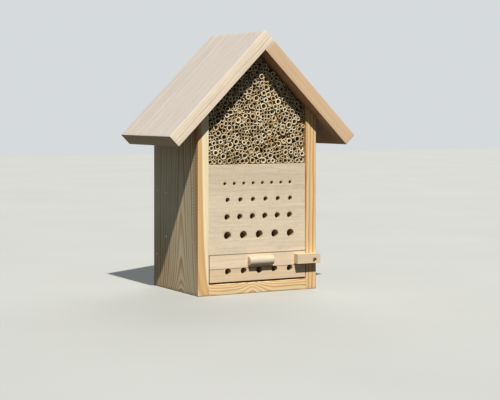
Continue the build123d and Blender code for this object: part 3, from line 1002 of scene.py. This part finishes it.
SKIN, BORE, PITH = range(3)  # a bundle's slots
REED_SIDES = 22
STOPPED, STOPPED_DEEP = 0.035, (0.5, 3.5)  # the share that pith stops, and how deep in mm
SHALLOW, SHALLOW_DEEP = 0.16, (8, 22)  # the share with a bore no deeper than this, stopped or not
OPEN_DEEP = (60, 104)
CHIPPED = 0.22  # the share with a chipped end
SQUASHED = 0.08  # the share that are far out of round
ROUND_OVER = 0.30 * MM  # how far the rounding of the mouth and the outer edge reaches


def stem(bundle, x, z, radius, bore, front, back, dice):
    """One cut stem: out of round, its end not quite square, its wall uneven, its bore dark."""
    tone = min(1.0, max(0.0, dice.gauss(0.55, 0.24)))
    oval = dice.uniform(0.0, 0.07) if dice.random() > SQUASHED else dice.uniform(0.1, 0.2)
    turn = dice.uniform(0, math.pi)
    tilt = Vector((dice.gauss(0, 0.07), dice.gauss(0, 0.07)))
    off = Vector((dice.gauss(0, 0.03), dice.gauss(0, 0.03))) * radius
    bore = min(bore * dice.uniform(1.0, 1.18), radius * 0.78)
    phase = dice.uniform(0, 100)
    chipped = dice.random() < CHIPPED
    chip_at = dice.uniform(0, 2 * math.pi)
    chip_deep = dice.uniform(0.6, 2.2) * MM

    def ring(size, y, inner=False, cut=True):
        points = []
        for i in range(REED_SIDES):
            angle = 2 * math.pi * i / REED_SIDES
            cos, sin = math.cos(angle), math.sin(angle)
            lump = noise.noise(Vector((cos * 1.3 + phase, sin * 1.3, y * 30)))
            flatter = oval * (0.5 + 0.5 * math.cos(2 * (angle - turn)))
            r = size * (1 - flatter) * (0.975 + 0.025 * lump)
            px, pz = r * cos, r * sin
            depth = y
            if cut:
                depth += px * tilt.x + pz * tilt.y + abs(lump) * 0.25 * MM
                if chipped:
                    depth += chip_deep * max(0.0, math.cos(angle - chip_at) - 0.55) * 2
            if inner:
                px, pz = px + off.x, pz + off.y
            points.append(Vector((x + px, depth, z + pz)))
        return bundle.ring(points)

    behind = ring(radius, back, cut=False)
    bundle.face(list(reversed(behind)), SKIN, tone)
    outer_far = ring(radius, front + 14 * MM, cut=False)
    outer = ring(radius, front + ROUND_OVER)
    edge = ring(radius - 0.14 * MM, front + 0.06 * MM)
    lip = ring(bore + 0.12 * MM, front + 0.05 * MM, inner=True)
    mouth = ring(bore, front + ROUND_OVER, inner=True)
    # painted shade: the outer skin, seen in the gaps between the stems, takes a darker tone
    gap_shade_tone = max(0.0, tone * 0.5 - 0.15)
    bundle.join(behind, outer_far, SKIN, gap_shade_tone)
    bundle.join(outer_far, outer, SKIN, gap_shade_tone)
    cut_tone = min(1.0, 0.62 + tone * 0.3 + dice.uniform(-0.12, 0.12))
    bundle.join(outer, edge, SKIN, cut_tone)
    bundle.join(edge, lip, SKIN, cut_tone)
    bundle.join(lip, mouth, SKIN, tone)
    kind = dice.random()
    deep = STOPPED_DEEP if kind < STOPPED else SHALLOW_DEEP if kind < SHALLOW else OPEN_DEEP
    depth = dice.uniform(*deep) * MM
    last = mouth
    for share in (0.08, 0.4, 1.0):
        y = front + ROUND_OVER + depth * share
        at = ring(bore * (1 - 0.04 * share), y, inner=True, cut=False)
        bundle.join(last, at, BORE, tone)
        last = at
    bundle.face(last, PITH if kind < STOPPED else BORE, tone)


def shard(bundle, x, z, room, front, dice):
    """A curl of leaf sheath caught between the stems."""
    tone = dice.uniform(0.45, 1.0)
    angle = dice.uniform(0, math.pi)
    long, thick = room * 0.85, 0.13 * MM
    bend = dice.uniform(0.2, 0.9)
    deep = dice.uniform(6, 16) * MM
    rows = []
    for y in (0.0, deep * 0.4, deep):
        row = []
        for side in (1, -1):
            steps = range(5) if side == 1 else reversed(range(5))
            for i in steps:
                s = (i / 4 - 0.5) * 2
                u = s * long
                w = (s * s - 0.5) * long * bend * 0.6 + side * thick
                ragged = noise.noise(Vector((x * 500, z * 500, i))) * 1.2 * MM if y == 0 else 0
                row.append(Vector((
                    x + u * math.cos(angle) - w * math.sin(angle),
                    front + y + ragged,
                    z + u * math.sin(angle) + w * math.cos(angle),
                )))
        rows.append(bundle.ring(row))
    for near, far in zip(rows, rows[1:]):
        bundle.join(near, far, SKIN, tone)
    bundle.face(list(reversed(rows[0])), SKIN, tone)
    bundle.face(rows[-1], SKIN, tone)


def reeds():
    """Every course of stems, then the scraps between them."""
    dice = random.Random(5)
    everything = []
    courses = sorted(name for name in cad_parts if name.startswith("reed_course_"))
    for node in courses:
        bundle = Bundle()
        stems = stems_of(node)
        everything += stems
        for x, z, radius, bore, front, back in stems:
            stem(bundle, x, z, radius, bore, front, back, dice)
        piece = bundle.finish(node.replace("course", "stems"))
        outward(piece)
        stand_for(piece, "house", "reed", node)
    scraps(np.array(everything), dice)


def scraps(stems, dice):
    """Sheath curls in the wider gaps between the stems."""
    tries, kept = 6000, 0.55  # places looked at, and the share of the fitting ones that get a curl
    narrow, wide, apart = 0.75 * MM, 2.2 * MM, 2.5 * MM
    bundle = Bundle()
    floor_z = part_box("nest_board_1")[1].z
    laid = []
    for _ in range(tries):
        x = dice.uniform(-INNER_X, INNER_X)
        z = dice.uniform(floor_z, RIDGE_UNDER_Z)
        walls = min(INNER_X - abs(x), z - floor_z, (RIDGE_UNDER_Z - z - abs(x)) / ROOT2)
        away = np.hypot(stems[:, 0] - x, stems[:, 1] - z)
        room = min(walls, (away - stems[:, 2]).min())
        if room < narrow or any(math.hypot(x - a, z - b) < apart for a, b in laid):
            continue
        laid.append((x, z))
        if dice.random() < kept:
            front = stems[away.argmin()][4] + dice.uniform(-0.3, 4.0) * MM
            shard(bundle, x, z, min(room, wide), front, dice)
    piece = bundle.finish("reed_scraps")
    outward(piece)
    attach(piece, "house")


# -------- studio

def distant_light(name, energy, width, colour, towards):
    """A distant lamp that is this many degrees wide and shines this way."""
    lamp = bpy.data.lights.new(name, "SUN")
    lamp.energy = energy
    lamp.angle = math.radians(width)
    lamp.color = colour
    holder = bpy.data.objects.new(name, lamp)
    holder.rotation_euler = Vector(towards).to_track_quat("-Z", "Y").to_euler()
    bpy.context.scene.collection.objects.link(holder)


def studio():
    """Pale floor, one key light from high on the left, a soft one behind, and an even fill."""
    reach = 6  # metres to each side
    corners = [(-reach, -reach, 0), (reach, -reach, 0), (reach, reach, 0), (-reach, reach, 0)]
    floor = add_piece("floor", corners, [[0, 1, 2, 3]], floor_paint(), smooth=False)
    floor.location.z = -0.2 * MM
    distant_light(
        "key", energy=5.06, width=1.2, colour=(1.0, 0.965, 0.90), towards=(0.28, 1.0, -1.34)
    )
    distant_light(
        "behind", energy=1.0, width=40.0, colour=(0.95, 0.98, 1.0), towards=(-0.72, -0.85, -0.90)
    )
    fill, seen_behind = (0.104, 0.132, 0.146, 1.0), srgb(214, 218, 220)
    world = bpy.data.worlds.new("studio")
    world.use_nodes = True
    background = world.node_tree.nodes["Background"]
    seen = world.node_tree.nodes.new("ShaderNodeLightPath").outputs["Is Camera Ray"]
    backdrop = world.node_tree.nodes.new("ShaderNodeMix")
    backdrop.data_type = "RGBA"
    backdrop.inputs[6].default_value = fill
    backdrop.inputs[7].default_value = seen_behind
    world.node_tree.links.new(seen, backdrop.inputs["Factor"])
    world.node_tree.links.new(backdrop.outputs[2], background.inputs["Color"])
    bpy.context.scene.world = world
    bpy.context.scene.view_settings.view_transform = "Standard"


def camera():
    """Level, low and to the left of the hotel, with a long lens."""
    lens = bpy.data.cameras.new("camera")
    lens.sensor_width = 36.0
    lens.lens = 98.3
    lens.shift_y = -0.1787
    view = bpy.data.objects.new("camera", lens)
    view.location = (-0.9953, FRONT_Y - 1.7969, 0.2734)
    view.rotation_euler = (math.radians(90), 0, math.radians(-28.63))
    bpy.context.scene.collection.objects.link(view)
    bpy.context.scene.camera = view


side_boards()
roof_boards()
base_board()
back_panel()
nesting_block()
drawer()
handle()
latch()
hanger()
kept_nodes()
reeds()
studio()
camera()
